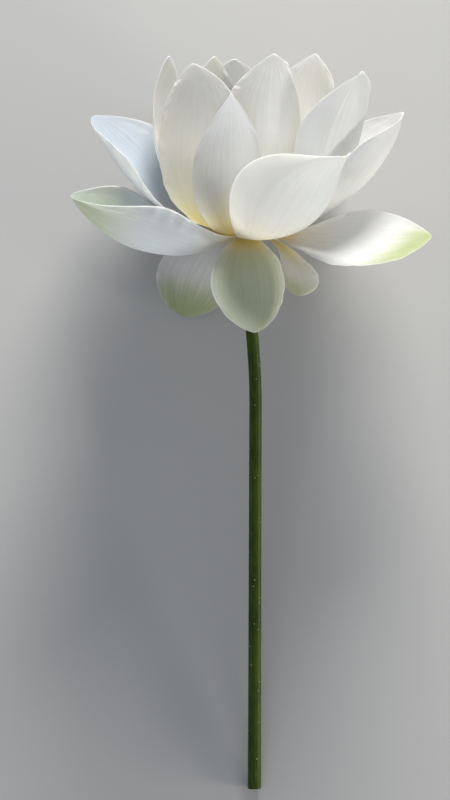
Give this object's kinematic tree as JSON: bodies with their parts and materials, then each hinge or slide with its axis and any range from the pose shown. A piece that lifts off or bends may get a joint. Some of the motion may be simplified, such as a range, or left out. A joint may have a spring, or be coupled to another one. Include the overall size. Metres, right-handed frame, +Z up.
{
  "type": "lotus flower",
  "caption": "White lotus flower in full bloom on a long cut stalk, laid on its back, with wide cupped petals, a ring of stamens and a young seed pod.",
  "frame": {"origin": "on the surface that the flower lies on, under the middle of its bounding box", "axes": "+Z up from the surface, +Y along the stalk from its cut end towards the bloom, +X to the right for someone who looks down on it with the bloom at the top"},
  "size_m": [0.2168, 0.4424, 0.1757],
  "materials": {
    "petal": "soft satin, white, slightly translucent, cream yellow at the claw",
    "receptacle": "matte, waxy yellow green",
    "stamen": "matte, powdery golden yellow",
    "stalk": "satin olive green, with small pale prickles"
  },
  "bodies": {
    "root": {"stalk": "stalk", "receptacle": "receptacle", "stamens": "stamen", "petal_front_drooping": "petal", "petal_left_drooping": "petal", "petal_right_drooping": "petal", "petal_left_low": "petal", "petal_right_low": "petal", "petal_rest_left": "petal", "petal_rest_right": "petal", "petal_front_open": "petal", "petal_right_raised": "petal", "petal_left_raised": "petal", "petal_back_middle": "petal", "petal_right_cup": "petal", "petal_right_back": "petal", "petal_front_upright": "petal", "petal_left_far": "petal", "petal_left_cup": "petal", "petal_back_right": "petal", "petal_centre_cup": "petal", "petal_left_back": "petal", "petal_back_left": "petal"}
  },
  "joints": []
}
